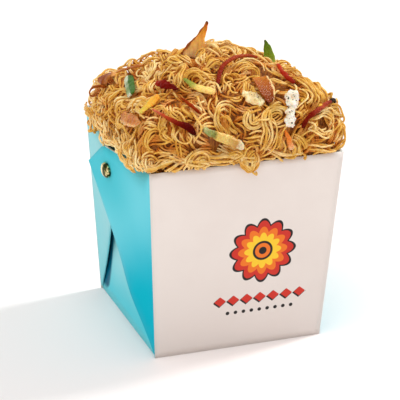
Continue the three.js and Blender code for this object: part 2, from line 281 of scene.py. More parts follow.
# a closed slab between two grids of points
def slab(outer, inner):
    rows, columns = len(outer), len(outer[0])
    points = [p for row in outer for p in row] + [p for row in inner for p in row]
    half = rows * columns
    faces, kinds = [], []
    for i in range(rows - 1):
        for j in range(columns - 1):
            a = i * columns + j
            faces.append((a, a + 1, a + columns + 1, a + columns))
            faces.append((half + a, half + a + columns, half + a + columns + 1, half + a + 1))
            kinds += [0, 1]
    edge = [i * columns for i in range(rows)]
    edge += [(rows - 1) * columns + j for j in range(1, columns)]
    edge += [i * columns + columns - 1 for i in range(rows - 2, -1, -1)]
    edge += list(range(columns - 2, 0, -1))
    for a, b in zip(edge, edge[1:] + edge[:1]):
        faces.append((a, b, half + b, half + a))
        kinds.append(2)
    return points, faces, kinds


def outward(piece):
    mesh = bmesh.new()
    mesh.from_mesh(piece.data)
    bmesh.ops.recalc_face_normals(mesh, faces=mesh.faces)
    mesh.to_mesh(piece.data)
    mesh.free()
    return piece


def cardBump(finish):
    fine = finish.grain(0.25, 2) * 0.02
    waves = finish.grain(24, 2) * 0.5
    return finish.bump(fine + waves, 0.6)


# turquoise card, paler towards the top and towards the middle of the side: painted light that stands in for
# the reflection of the bright room
def turquoiseCard(name, deep, pale, low, high, sway=0.0, pocket=None):
    finish = Finish(name, Roughness=0.3, Specular_IOR_Level=0.01)
    x, y, z = finish.axes()
    drift = finish.grain(40, 2) - 0.5
    # painted light: the card is paler higher up
    amount = (z + (y + 46) * sway + drift * 16).step(low, high)
    colour = finish.blend(amount, deep, pale)
    if sway:
        # painted light: paler again near the top of the side's middle
        colour = finish.blend((y + 40).step(2, 34) * z.step(50, 80), colour, rgb(78, 200, 214))
    if pocket:
        # painted shade: the wall in the pocket under the back web is darkened, as hardly any light falls
        # into it
        reach = y + z * pocket[1] - pocket[0] + z.step(-2, 8) * z.step(56, 6) * 6
        colour = finish.blend(reach.step(-1.5, 1.5) * z.step(56, 42), colour, rgb(0, 100, 128))
        # painted light: the wall's foot is lightened, as if lit by the white floor's reflection
        colour = finish.blend(z.step(6, 1), colour, rgb(126, 232, 242))
    return finish.use(Base_Color=colour, Normal=cardBump(finish))


def cardEdge():
    finish = Finish("cardEdge", Roughness=0.8)
    fibre = finish.grain(0.3, 3).step(0.3, 0.8)
    return finish.use(Base_Color=finish.blend(fibre, rgb(214, 222, 220), rgb(240, 240, 232)))


ornament = dict(middle=(10, 52), petals=12, reach=17.5, rows=(26.5, 19.5))


# a round flower of plain shapes above two rows of small marks: (mask, colour) pairs, lowest first
def ornamentLayers(finish, x, z):
    across, up = x - ornament["middle"][0], z - ornament["middle"][1]
    away = (across * across + up * up).maths("SQRT")
    turn = up.maths("ARCTAN2", across)
    black, red, orange, yellow = rgb(24, 20, 20), rgb(206, 44, 28), rgb(238, 118, 26), rgb(250, 204, 44)

    def disc(radius):
        return 1 - away.step(radius - 0.15, radius + 0.15)

    def flower(reach, depth, count, phase=0.0):
        lobes = (turn * (count / 2) + phase).maths("COSINE").size()
        edge = away - lobes * depth
        return 1 - edge.step(reach - depth - 0.15, reach - depth + 0.15)

    reach, petals = ornament["reach"], ornament["petals"]
    found = [(flower(reach, 3.4, petals), black), (flower(reach - 1.3, 3.2, petals), red),
             (flower(reach - 4.6, 3.0, petals), orange), (flower(reach - 7.8, 2.4, petals), yellow),
             (disc(5.2), black), (disc(4.0), orange), (disc(2.0), black)]
    first, second = ornament["rows"]
    span = 1 - across.size().step(24.4, 24.5)

    def repeated(pitch, shift=0.0):
        return (across + shift).maths("WRAP", pitch / 2, -pitch / 2).size()

    def diamond(row, size, shift=0.0, drop=0.0):
        away = repeated(7.0, shift) * 0.85 + (z - row + drop).size()
        return (1 - away.step(size - 0.12, size + 0.12)) * span

    found += [(diamond(first, 2.9, 0.45, 0.45), black), (diamond(first, 2.6), red)]
    dots = (repeated(4.2) * repeated(4.2) + (z - second) * (z - second)).maths("SQRT")
    found.append(((1 - dots.step(0.85, 1.1)) * (1 - across.size().step(18.8, 18.9)), black))
    return found


def creamCard():
    finish = Finish("creamCard", Roughness=0.5, Specular_IOR_Level=0.3)
    x, y, z = finish.axes()
    drift = finish.grain(30, 3).step(0.3, 0.7)
    colour = finish.blend(drift, rgb(234, 224, 217), rgb(238, 229, 222))
    # painted shade: the card is darker towards the bottom
    low = z.step(85, -30)
    colour = finish.blend(low, colour, rgb(218, 208, 202))
    outside = (y.size() - 42).step(0, 0.3)
    for mask, ink in ornamentLayers(finish, x, z):
        colour = finish.blend(mask * outside, colour, ink)
    return finish.use(Base_Color=colour, Normal=cardBump(finish))


# lit and shaded copies of one turquoise card, which is painted light: the back webs' copy is paler all
# over, as if lit more
cardTurquoise = turquoiseCard("turquoiseCard", rgb(0, 182, 204), rgb(110, 214, 228), 36, 84, 0.5)
cardBackLitTurquoise = turquoiseCard("turquoiseLit", rgb(130, 212, 220), rgb(146, 216, 222), 10, 80)
cardWall = turquoiseCard("turquoiseWall", rgb(90, 212, 226), rgb(158, 224, 230), 2, 34, 0.0, (40.5, 0.555))
cardPale = cardEdge()
cardCream = creamCard()


def panelPiece(side):
    steps = 28
    outer, inner = [], []
    for i in range(steps + 1):
        z = carton["height"] * i / steps
        halfX, halfY = halfAt(z)
        rowOuter, rowInner = [], []
        for j in range(steps + 1):
            u = 2 * j / steps - 1
            swell = carton["bulge"] * (1 - u ** 4) * math.sin(math.pi * min(i / steps + 0.18, 1.18) / 1.36)
            rowOuter.append((u * halfX, side * (halfY + swell), z))
            rowInner.append((u * halfX, side * (halfY + swell - carton["board"]), z))
        outer.append(rowOuter)
        inner.append(rowInner)
    points, faces, kinds = slab(outer, inner)
    name = "panelFront" if side < 0 else "panelBack"
    piece = outward(makePiece(name, points, faces, [cardCream, cardCream, cardPale, cardTurquoise], kinds))
    for face in piece.data.polygons:
        if abs(face.normal.x) > 0.7:
            face.material_index = 3
    return piece


slopeLength = math.hypot(carton["height"], carton["rimX"] - carton["baseX"])
slopeUp = np.array([-(carton["rimX"] - carton["baseX"]), 0, carton["height"]]) / slopeLength
slopeOut = np.array([-carton["height"], 0, -(carton["rimX"] - carton["baseX"])]) / slopeLength
flare = carton["rimY"] - carton["baseY"]
edgeLength = math.hypot(slopeLength, flare)
edgeUp = (-flare / edgeLength, slopeLength / edgeLength)
edgeIn = (slopeLength / edgeLength, flare / edgeLength)


# a point by its place across and up the left side plane, and how far it stands out
def sidePoint(y, s, n):
    return np.array([-carton["baseX"], y, 0]) + slopeUp * s + slopeOut * n


# the web leans out in a straight line, and bellies out near its foot
def frontStand(y, s):
    u = (y + carton["baseY"]) * edgeIn[0] + s * edgeIn[1]
    belly = math.exp(-((u - carton["bellyU"]) / 14) ** 2 - ((s - carton["bellyUp"]) / 20) ** 2)
    belly *= min(1, max(0, u / 8))
    return carton["frontLean"] * u - carton["webFoot"] + carton["belly"] * belly


def backStand(y, s):
    u = (carton["baseY"] - y) * edgeIn[0] + s * edgeIn[1]
    own = carton["backSlope"] * u + carton["backCurve"] * u * u - carton["webFoot"]
    under = frontStand(y, s) - carton["webSpacing"]
    blend = carton["webBlend"]
    return -blend * math.log(math.exp(-own / blend) + math.exp(-under / blend))


def webCorner(u, h):
    across = u * math.cos(math.atan(carton["frontLean"]))
    return -carton["baseY"] + across * edgeIn[0] + h * edgeUp[0], across * edgeIn[1] + h * edgeUp[1]


def mirrored(points, mirror):
    return [(-p[0], p[1], p[2]) for p in points] if mirror else points


def between(start, end, y):
    return start[1] + (end[1] - start[1]) * (y - start[0]) / (end[0] - start[0])


# one web: a hairpin of card, folded along its slanting lower edge
def webPiece(name, isBack, mirror):
    angle = math.radians(carton["webAngle"])
    foot = webCorner(0, 0)
    tip = webCorner(carton["webFold"] * math.sin(angle), carton["webFold"] * math.cos(angle))
    peak = webCorner(carton["peakU"], carton["peakH"])
    top = webCorner(0, carton["webTop"])
    stand = backStand if isBack else frontStand
    side = -1 if isBack else 1
    ply = carton["ply"]
    apart = carton["webGap"]
    columns, climb = 44, 7
    start, end = top[0] + 0.1, tip[0] - 0.15
    outer, inner = [], []
    for j in range(columns + 1):
        y = start + (end - start) * j / columns
        low = between(top, foot, y) if y < foot[0] else between(foot, tip, y)
        high = between(top, peak, y) if y < peak[0] else between(peak, tip, y)
        low += 0.35 * min(1, max(0, (y - foot[0]) / 4))
        high = max(high, low + 0.2)
        spine = [(high + (low - high) * i / climb, apart / 2, (0, 1)) for i in range(climb + 1)]
        for k in range(1, 6):
            turn = math.pi * k / 6
            spine.append((low - apart / 2 * math.sin(turn), apart / 2 * math.cos(turn),
                          (-math.sin(turn), math.cos(turn))))
        spine += [(high + (low - high) * i / climb, -apart / 2, (0, -1)) for i in range(climb, -1, -1)]
        rowOuter, rowInner = [], []
        for s, n, (ds, dn) in spine:
            base = stand(side * y, s)
            behind = carton["board"] - halfAt(s)[1]
            near = side * max(y, behind)
            rowOuter.append(sidePoint(near, s + ds * ply / 2, base + n + dn * ply / 2))
            rowInner.append(sidePoint(near, s - ds * ply / 2, base + n - dn * ply / 2))
        outer.append(rowOuter)
        inner.append(rowInner)
    points, faces, kinds = slab(outer, inner)
    points = mirrored(points, mirror)
    card = cardBackLitTurquoise if isBack else cardTurquoise
    return outward(makePiece(name, points, faces, [card, card, cardPale], kinds))


def sideWall(name, mirror):
    steps = 16
    outer, inner = [], []
    for i in range(steps + 1):
        z = carton["height"] * i / steps
        halfX, halfY = halfAt(z)
        x = halfX - carton["inset"]
        row = [2 * j / steps - 1 for j in range(steps + 1)]
        outer.append([(-x, u * (halfY - 0.25), z) for u in row])
        inner.append([(-x + carton["board"], u * (halfY - 0.25), z) for u in row])
    points, faces, kinds = slab(outer, inner)
    points = mirrored(points, mirror)
    return outward(makePiece(name, points, faces, [cardWall, cardPale, cardPale], kinds))


def floorBoard():
    x, y = halfAt(0)
    x -= carton["inset"]
    corners = [(-x, -y), (x, -y), (x, y), (-x, y)]
    points = [(a, b, z) for z in (0, carton["board"]) for a, b in corners]
    faces = [(3, 2, 1, 0), (4, 5, 6, 7)] + [(i, (i + 1) % 4, 4 + (i + 1) % 4, 4 + i) for i in range(4)]
    return outward(makePiece("floorBoard", points, faces, [cardPale], smooth=False))


def buildCarton():
    pieces = [panelPiece(-1), panelPiece(1), floorBoard()]
    for mirror, side in ((False, "Left"), (True, "Right")):
        pieces.append(sideWall("wall" + side, mirror))
        pieces.append(webPiece("webFront" + side, False, mirror))
        pieces.append(webPiece("webBack" + side, True, mirror))
    for piece in pieces:
        settle(piece, "card", "carton")


buildCarton()
print("carton made")


# studs

def studFinish():
    finish = Finish("studBrass", Metallic=1.0, Roughness=0.16)
    x, y, z = finish.axes()
    reflectionNoise = finish.grain(1.4, 2)
    # painted reflection: the half that faces the front is painted dark, as if it mirrored a dark room, with
    # a few painted glints
    darkReflection = (y + 3.6 + (reflectionNoise - 0.5) * 1.5).step(0.4, -0.4)
    glint = (y + 5.6).step(0.4, -0.4) * reflectionNoise.step(0.46, 0.56)
    colour = finish.blend(darkReflection * (1 - glint), rgb(240, 222, 160), rgb(58, 62, 26))
    return finish.use(Base_Color=colour, Normal=finish.bump(finish.grain(2.4, 2), 0.5))


brass = studFinish()
for node in ("stud_left", "stud_right"):
    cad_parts[node].data.materials.clear()
    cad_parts[node].data.materials.append(brass)


# toppings

def nodeMesh(node):
    mesh = bmesh.new()
    mesh.from_mesh(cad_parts[node].data)
    bmesh.ops.remove_doubles(mesh, verts=mesh.verts, dist=1e-6)
    return mesh


# steps from one closed end to the other, 0 to 1 along the piece
def alongPiece(mesh, towards):
    ends = sorted(mesh.verts, key=lambda v: len(v.link_edges))[-2:]
    ends.sort(key=lambda v: v.co.dot(Vector(towards)))
    steps = {ends[0]: 0}
    front = [ends[0]]
    while front:
        reached = []
        for vert in front:
            for edge in vert.link_edges:
                other = edge.other_vert(vert)
                if other not in steps:
                    steps[other] = steps[vert] + 1
                    reached.append(other)
        front = reached
    last = max(steps.values())
    return {vert: count / last for vert, count in steps.items()}


# widens, lengthens and moves a piece, and notes how far across it each point lies
def reshape(along, swell, longer, move, layer):
    rings = {}
    for vert, value in along.items():
        rings.setdefault(round(value, 3), []).append(vert)
    whole = sum((v.co for v in along), Vector()) / len(along)
    for value, ring in rings.items():
        middle = sum((v.co for v in ring), Vector()) / len(ring)
        reach = max((v.co - middle for v in ring), key=lambda r: r.length)
        reach = reach if reach.x > 0 else -reach
        size = float(np.interp(value, np.linspace(0, 1, len(swell)), swell))
        for vert in ring:
            vert[layer] = (vert.co - middle).dot(reach) / max(reach.length_squared, 1e-9) / 2 + 0.5
            vert.co = whole + (middle - whole) * longer + (vert.co - middle) * size + Vector(move) * mm


# a smooth, slightly uneven piece made from a copy of its node
def toppingPiece(node, name, slot, material, towards, relief, swell=(1, 1), longer=1.0, move=(0, 0, 0)):
    mesh = nodeMesh(node)
    mesh.verts.layers.float.new("across")
    layer = mesh.verts.layers.float.new("along")
    along = alongPiece(mesh, towards)
    for vert, value in along.items():
        vert[layer] = value
    reshape(along, swell, longer, move, mesh.verts.layers.float["across"])
    bmesh.ops.join_triangles(mesh, faces=mesh.faces, angle_face_threshold=1.2, angle_shape_threshold=1.8,
                             cmp_seam=False, cmp_sharp=False, cmp_uvs=False, cmp_vcols=False,
                             cmp_materials=False)
    data = bpy.data.meshes.new(name)
    mesh.to_mesh(data)
    mesh.free()
    piece = roundOff(addObject(name, data))
    data = piece.data
    count = len(data.vertices)
    points = np.zeros(count * 3)
    normals = np.zeros(count * 3)
    data.vertices.foreach_get("co", points)
    data.vertices.foreach_get("normal", normals)
    points, normals = points.reshape(-1, 3), normals.reshape(-1, 3)
    wave = 2.2
    shift = np.array([noise.noise(Vector(p / mm / wave)) + 0.4 * noise.noise(Vector(p / mm / wave * 2.7))
                      for p in points])
    points += normals * (shift * relief * mm)[:, None]
    data.vertices.foreach_set("co", points.ravel())
    data.materials.clear()
    data.materials.append(material)
    data.polygons.foreach_set("use_smooth", np.ones(len(data.polygons), dtype=bool))
    data.update()
    return settle(piece, slot, node)


# a cooked skin, from (place, red, green, blue) along the piece, with streaks and blotches;
# rim says from where to where across the piece another colour takes over, and which
def cookedSkin(name, colours, roughness=0.3, streak=0.12, relief=0.25, grainSize=0.9, stretch=(1, 1, 1),
               dark=0.45, glow=0.2, tint=(1, 0.7, 0.5, 1), gloss=0.3, lit=0.0, rim=None):
    finish = Finish(name + "Skin", Roughness=roughness, Specular_IOR_Level=gloss, Specular_Tint=tint,
                    Subsurface_Weight=glow, Subsurface_Scale=0.0015, Subsurface_Radius=(1.0, 0.4, 0.15),
                    Emission_Strength=lit)
    patch = finish.grain(3.5, 3)
    fine = finish.grain(grainSize, 3, stretch)
    along = finish.attribute("along") + (patch - 0.5) * streak * 2
    stops = [(place, rgb(*colour)) for place, *colour in colours]
    colour = finish.add("ShaderNodeValToRGB", {"stops": stops}, {"Fac": along}, out="Color")
    shade = finish.blend(fine.step(0.35, 0.75) * dark, colour, rgb(150, 60, 10), "MULTIPLY")
    if rim:
        side = finish.attribute("across") + (patch - 0.5) * 0.3
        shade = finish.blend(side.step(rim[0], rim[1]), shade, rgb(*rim[2:]))
    # painted light: a skin with lit above 0 glows in its own colour
    if lit:
        finish.use(Emission_Color=shade)
    skins[name] = finish.use(Base_Color=shade, Normal=finish.bump(fine + patch * 0.8, relief))


def pepperedSkin(name, light, warmer):
    finish = Finish(name + "Skin", Roughness=0.5, Specular_IOR_Level=0.3, Subsurface_Weight=0.2,
                    Subsurface_Scale=0.001)
    speck = finish.add("ShaderNodeTexVoronoi", inputs={"Vector": finish.place(), "Scale": 620.0},
                       out="Distance")
    spots = (1 - speck.step(0.24, 0.36)) * finish.grain(2.4, 2).step(0.44, 0.56)
    base = finish.blend(finish.grain(3, 3).step(0.35, 0.7), light, warmer)
    colour = finish.blend(spots, base, rgb(30, 14, 8))
    skins[name] = finish.use(Base_Color=colour, Normal=finish.bump(finish.grain(1.1, 3), 0.8))


skins = {}
red = dict(tint=(1, 0.3, 0.2, 1), gloss=0.04)
# the shard glows a little (lit), painted light in place of light shining through it
cookedSkin("shard", [(0, 255, 238, 176), (0.42, 252, 212, 120), (0.7, 236, 172, 66), (0.84, 196, 110, 30),
                     (0.93, 60, 28, 12)],
           grainSize=1.1, stretch=(1, 1, 7), streak=0.06, glow=0.7, dark=0.3, lit=0.12,
           rim=(0.2, 0.02, 150, 84, 30))
cookedSkin("tail", [(0, 232, 170, 66), (0.5, 226, 158, 56), (1, 150, 84, 26)], stretch=(4, 1, 1), glow=0.4)
cookedSkin("peel", [(0, 180, 100, 38), (0.5, 146, 68, 18), (1, 190, 122, 56)], gloss=0.1,
           rim=(0.72, 0.9, 214, 150, 84))
cookedSkin("ribbon", [(0, 206, 130, 44), (0.5, 178, 96, 24), (1, 196, 112, 30)])
cookedSkin("petal", [(0, 220, 138, 34), (0.35, 178, 92, 14), (0.7, 150, 66, 8), (1, 104, 38, 8)],
           glow=0.35, roughness=0.2, relief=0.5, rim=(0.86, 0.95, 246, 206, 140))
cookedSkin("leftPetal", [(0, 168, 90, 40), (0.3, 222, 156, 88), (0.6, 196, 112, 50), (1, 230, 168, 98)],
           streak=0.35, glow=0.5, relief=0.6, grainSize=1.6, dark=0.3, rim=(0.3, 0.1, 238, 186, 120))
cookedSkin("chunk", [(0, 226, 230, 204), (0.3, 196, 208, 170), (0.5, 96, 128, 66), (0.75, 150, 176, 122),
                     (1, 232, 234, 214)],
           dark=0.2, streak=0.3, rim=(0.5, 0.62, 64, 104, 38), gloss=0.15)
cookedSkin("wedge", [(0, 206, 204, 110), (0.4, 150, 186, 58), (0.75, 112, 156, 44), (1, 66, 84, 34)],
           stretch=(1, 1, 5), dark=0.25, glow=0.4, tint=(0.8, 1, 0.5, 1))
cookedSkin("tip", [(0, 104, 136, 36), (0.3, 160, 168, 60), (0.45, 240, 208, 112), (0.8, 250, 214, 124),
                   (1, 238, 196, 120)], dark=0.3, glow=0.5)
cookedSkin("gold", [(0, 216, 206, 92), (0.35, 248, 196, 70), (1, 240, 156, 40)], dark=0.2, glow=0.5)
cookedSkin("pepper", [(0, 190, 196, 140), (0.22, 152, 160, 92), (0.3, 128, 128, 58), (0.36, 226, 194, 100),
                      (0.6, 242, 212, 128), (0.8, 196, 148, 70), (0.88, 244, 230, 190), (1, 232, 214, 168)],
           dark=0.35, glow=0.6, streak=0.1)
cookedSkin("red", [(0, 176, 44, 14), (0.4, 124, 16, 6), (1, 78, 8, 6)], **red)
cookedSkin("arc", [(0, 120, 26, 8), (0.35, 150, 40, 14), (0.7, 186, 84, 48), (1, 150, 48, 20)],
           roughness=0.2, grainSize=0.6, relief=0.4, dark=0.7, **red | dict(gloss=0.06))
cookedSkin("curl", [(0, 96, 18, 10), (0.35, 134, 30, 16), (0.6, 188, 84, 58), (0.76, 140, 50, 34),
                    (0.82, 24, 12, 10)], streak=0.05, relief=0.4, grainSize=0.7, dark=0.7, **red)
cookedSkin("char", [(0, 40, 18, 14), (1, 16, 10, 10)], gloss=0.2)
cookedSkin("pink", [(0, 228, 130, 100), (0.3, 190, 74, 38), (0.5, 130, 26, 12), (0.7, 92, 12, 8),
                    (1, 60, 8, 8)], streak=0.08, grainSize=0.7, relief=0.6, **red)
cookedSkin("thread", [(0, 130, 50, 14), (0.5, 158, 52, 14), (1, 104, 28, 8)], **red)
cookedSkin("chilli", [(0, 206, 66, 12), (0.5, 170, 34, 6), (1, 130, 22, 6)], **red | dict(gloss=0.15))
cookedSkin("ember", [(0, 226, 120, 30), (0.6, 238, 150, 64), (1, 250, 220, 170)], glow=0.5)
pepperedSkin("white", rgb(250, 243, 228), rgb(240, 220, 184))
pepperedSkin("cream", rgb(255, 236, 184), rgb(240, 196, 116))

leftwards, rightwards, forwards = (-1, 0, 0), (1, 0, 0), (0, -1, 0)
upwards, downwards = (0, 0, 1), (0, 0, -1)
# node: piece, slot, skin, the way its colours run, its relief, and how it differs from its node:
# swell is its width from the first end to the last, longer its length, both times the node's own
toppings = {
    "shallot_shard": ("shallotShard", "crisp_shallot", "shard", upwards, 0.35,
                      dict(swell=(1.35, 1.2, 1.0, 0.95, 1.0, 1.5), longer=1.06)),
    "shallot_tail": ("shallotTail", "crisp_shallot", "tail", leftwards, 0.4,
                     dict(swell=(1.1, 0.9, 1.1, 0.8, 0.9))),
    "brown_curl": ("brownCurl", "brown_peel", "peel", rightwards, 0.3,
                   dict(swell=(1.3, 1.75, 1.8, 1.4), move=(-0.3, -1.2, 0.8))),
    "brown_ribbon": ("brownRibbon", "brown_peel", "ribbon", rightwards, 0.3, dict(move=(-0.8, -2.1, 1.7))),
    "spring_onion_chunk": ("springOnionChunk", "spring_onion", "chunk", forwards, 0.3, {}),
    "red_onion_bit": ("redOnionBit", "red_onion", "red", rightwards, 0.7,
                      dict(swell=(0.8, 1.1, 1.15, 0.85, 1.1))),
    "gold_strip_left": ("goldStrip", "gold_pepper", "gold", rightwards, 0.3,
                        dict(swell=(1.0, 1.2, 1.4, 1.45, 1.2), longer=1.15)),
    "green_tipped_strip": ("greenTippedStrip", "gold_pepper", "tip", rightwards, 0.3,
                           dict(swell=(0.9, 1.0, 1.2, 1.25, 1.1))),
    "red_onion_arc": ("redOnionArc", "red_onion", "arc", rightwards, 0.2, {}),
    "green_wedge": ("greenWedge", "spring_onion", "wedge", upwards, 0.25, {}),
    "chilli_strip": ("chilliStrip", "red_pepper", "chilli", rightwards, 0.35,
                     dict(swell=(0.7, 0.78, 0.75, 0.8, 0.7))),
    "shallot_petal": ("shallotPetal", "brown_peel", "petal", forwards, 0.4, {}),
    "white_piece_upper": ("whitePieceUpper", "egg_white", "white", forwards, 1.3,
                          dict(swell=(0.85, 0.95, 0.85), longer=1.2)),
    "white_piece_lower": ("whitePieceLower", "egg_white", "white", forwards, 1.3,
                          dict(swell=(0.85, 0.9), longer=1.35)),
    "pale_piece": ("palePiece", "egg_white", "cream", rightwards, 0.9,
                   dict(swell=(1.4, 1.6, 1.4), longer=1.3)),
    "curled_red_onion": ("curledRedOnion", "red_onion", "curl", rightwards, 0.35,
                         dict(swell=(0.8, 0.8, 0.85, 0.7, 0.7, 0.9), longer=0.95, move=(-1.4, -0.4, -0.4))),
    "red_onion_left": ("redOnionLeft", "red_onion", "pink", rightwards, 0.35,
                       dict(swell=(0.8, 0.7, 0.7, 0.85, 1.15, 1.1, 0.8))),
    "chilli_thread": ("chilliThread", "red_pepper", "thread", rightwards, 0.3,
                      dict(swell=(0.6, 0.8, 1.0, 0.8, 0.6))),
    "brown_petal_left": ("brownPetalLeft", "brown_peel", "leftPetal", forwards, 0.9,
                         dict(swell=(0.7, 0.95, 0.85, 0.95, 0.7))),
    "pepper_strip": ("pepperStrip", "gold_pepper", "pepper", rightwards, 0.6,
                     dict(swell=(0.75, 0.8, 0.78, 0.92, 1.05, 0.98, 1.05, 0.95, 0.8))),
    "chilli_strip_right": ("chilliStripRight", "red_pepper", "ember", downwards, 0.4,
                           dict(swell=(0.7, 0.85, 0.8))),
}
for node, (name, slot, skin, towards, relief, changes) in toppings.items():
    toppingPiece(node, name, slot, skins[skin], towards, relief, **changes)
print("toppings made")


# small scraps that have no node of their own, each round a line of places and widths
def scrap(name, slot, skin, line, node="noodle_heap"):
    places = [Vector(step[:3]) for step in line]
    points, faces = [], []
    sides = 8
    for k, here in enumerate(places):
        ahead = (places[min(k + 1, len(line) - 1)] - places[max(k - 1, 0)]).normalized()
        side = ahead.cross(Vector((0, 0, 1)))
        side = side.normalized() if side.length > 0.2 else Vector((1, 0, 0))
        up = side.cross(ahead)
        radius = line[k][3] / 2
        for j in range(sides):
            turn = 2 * math.pi * j / sides
            points.append(here + (side * math.cos(turn) + up * math.sin(turn)) * radius)
    for k in range(len(line) - 1):
        for j in range(sides):
            a, b = k * sides + j, k * sides + (j + 1) % sides
            faces.append((a, b, b + sides, a + sides))
    faces += [tuple(range(sides - 1, -1, -1)), tuple(range(len(points) - sides, len(points)))]
    piece = roundOff(outward(makePiece(name, points, faces, [skins[skin]])))
    count = len(piece.data.vertices)
    piece.data.attributes.new("along", "FLOAT", "POINT").data.foreach_set("value", np.linspace(0, 1, count))
    settle(piece, slot, node)


scrap("peelLoop", "brown_peel", "peel",
      [(-46.1, 26.1, 117.4, 1.8), (-48.5, 26.1, 118.3, 1.7), (-52.2, 26.1, 118.7, 1.5),
       (-54.2, 26.1, 117.8, 1.4), (-55.3, 26.1, 115.8, 1.3), (-54.8, 26.1, 113.6, 1.3),
       (-52.7, 26.1, 113.4, 1.4), (-50.6, 26.1, 115.3, 1.4)])
scrap("onionTip", "red_onion", "char",
      [(44.6, -42, 123.6, 1.5), (46.6, -41, 124, 2.0), (48, -40.2, 123.3, 2.2), (48.5, -40.1, 121.9, 1.9),
       (47.8, -40.4, 120.8, 1.1)], "curled_red_onion")
scrap("whiteBridge", "egg_white", "white",
      [(22.8, -47, 125.4, 3.6), (22, -48.3, 124, 4.6), (21.4, -49.2, 122.4, 4.4), (21, -49.6, 121, 3.6)],
      "white_piece_upper")
scrap("redFleck", "red_onion", "ribbon",
      [(-20.2, 17, 135, 1.5), (-18.6, 17.2, 136.6, 3.2), (-16.8, 17, 135.4, 1.9)])
for index, (x, y, z) in enumerate([(37.5, -46.9, 124), (28.8, -45.1, 126.9), (31.1, -44.5, 127.5)]):
    scrap(f"yellowCrumb{index + 1}", "gold_pepper", "gold",
          [(x - 1, y - 0.4, z - 0.5, 1.2), (x, y - 0.8, z + 0.2, 1.9), (x + 1, y - 0.3, z + 0.4, 1.1)])


# noodles

# sag is how tightly a strand bends over what it lies on; packed and outer are how far out strands are laid
# and how far any may reach; a lock that hangs free steps on by freeStep
noodle = dict(radius=0.5, sides=5, sag=6.0, seed=11, spacing=0.84, coreDepth=3.5, hollowDepth=2.6,
              hollowSize=10.0, stride=1.2, fineStep=0.4, keepEvery=3, freeStep=0.9, packed=(54.6, 54.2),
              packedRoom=2.4, outerX=(-57, 55), outerY=(-55, 54.4), rimCover=1.6, rimRise=0.35)
# counted in fine steps: the shortest lock and strand, the ragged ends, and the ends that dip in
lock = dict(shortest=26, shortestStrand=18, ragged=14, dipping=12, dip=2.4, shadeDepth=4.5, lowest=98.5)
# laid in this order: how low the heap is filled, how many locks at most, what each lock is like; a layer
# whose limit is low also goes under the toppings
layers = (
    dict(fill=-1.8, limit=-0.4, rounds=30, batch=40, strands=(5, 10), length=(30, 70), hump=(0.4, 1.2)),
    dict(fill=-1.6, limit=0.2, rounds=14, batch=40, strands=(3, 7), length=(16, 34), hump=(0.2, 0.8)),
    dict(fill=-0.5, limit=1.4, rounds=9, batch=28, strands=(6, 13), length=(40, 90), hump=(1.0, 2.8)),
    dict(fill=0.9, limit=2.4, rounds=8, batch=20, strands=(4, 9), length=(40, 90), hump=(0.6, 2.2)),
    dict(fill=1.2, limit=2.8, rounds=3, batch=40, strands=(1, 3), length=(20, 60), hump=(0.0, 0.2)),
)
heart = np.array([0, 0, 88.0])        # the point in the heap that distances are measured from
mapSize = 560
mapReach = 2.0        # polar angle at the map's edge
castSize = 200
outside = 120         # further from the heart than any piece
usual = 50            # about how far the heap's surface is from the heart
rng = np.random.default_rng(noodle["seed"])
noise.seed_set(noodle["seed"])


# directions from the heart to places on the map, and back
def toMap(directions, size=mapSize):
    polar = np.arccos(np.clip(directions[..., 2], -1, 1))
    flat = np.maximum(np.hypot(directions[..., 0], directions[..., 1]), 1e-9)
    scale = polar / flat * size / 2 / mapReach
    return directions[..., 0] * scale + size / 2, directions[..., 1] * scale + size / 2


def fromMap(column, row, size=mapSize):
    a = (column - size / 2) * 2 * mapReach / size
    b = (row - size / 2) * 2 * mapReach / size
    polar = np.hypot(a, b)
    ratio = np.sin(polar) / np.maximum(polar, 1e-9)
    return np.stack([a * ratio, b * ratio, np.cos(polar)], -1)


def nodeTree(names):
    whole = bmesh.new()
    for name in names:
        whole.from_mesh(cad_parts[name].data)
    tree = BVHTree.FromBMesh(whole)
    whole.free()
    return tree


# distance from the heart to a mesh, over the whole map
def castMap(tree, size, fromInside):
    found = np.full((size, size), np.nan)
    cells = np.arange(size) + 0.5
    for i in range(size):
        for j, way in enumerate(fromMap(cells, np.full(size, cells[i]), size)):
            if fromInside:
                hit = tree.ray_cast(Vector(heart * mm), Vector(way))
            else:
                far = Vector((heart + way * outside) * mm)
                hit = tree.ray_cast(far, Vector(-way), (outside - 2) * mm)
            if hit[0] is not None:
                found[i, j] = (hit[0] / mm - Vector(heart)).length
    return found


def sample(field, column, row):
    size = field.shape[0]
    c = np.clip(column - 0.5, 0, size - 1.001)
    r = np.clip(row - 0.5, 0, size - 1.001)
    c0, r0 = c.astype(int), r.astype(int)
    u, v = c - c0, r - r0
    return ((field[r0, c0] * (1 - u) + field[r0, c0 + 1] * u) * (1 - v)
            + (field[r0 + 1, c0] * (1 - u) + field[r0 + 1, c0 + 1] * u) * v)


def enlarge(field, size):
    cells = (np.arange(size) + 0.5) * field.shape[0] / size
    column, row = np.meshgrid(cells, cells)
    return sample(field, column, row)


def soften(field, times):
    for _ in range(times):
        padded = np.pad(field, 1, mode="edge")
        field = (padded[1:-1, 1:-1] * 4 + padded[:-2, 1:-1] + padded[2:, 1:-1] + padded[1:-1, :-2]
                 + padded[1:-1, 2:]) / 8
    return field


# slow random lumps, their size in millimetres at the heap's usual distance
def lumpField(size, seed, scale):
    coarse = 100
    out = np.zeros((coarse, coarse))
    cells = np.arange(coarse) + 0.5
    for i in range(coarse):
        for j, way in enumerate(fromMap(cells, np.full(coarse, cells[i]), coarse)):
            out[i, j] = noise.noise(Vector(way * usual / scale) + Vector((seed, 0, 0)))
    return enlarge(out, size)


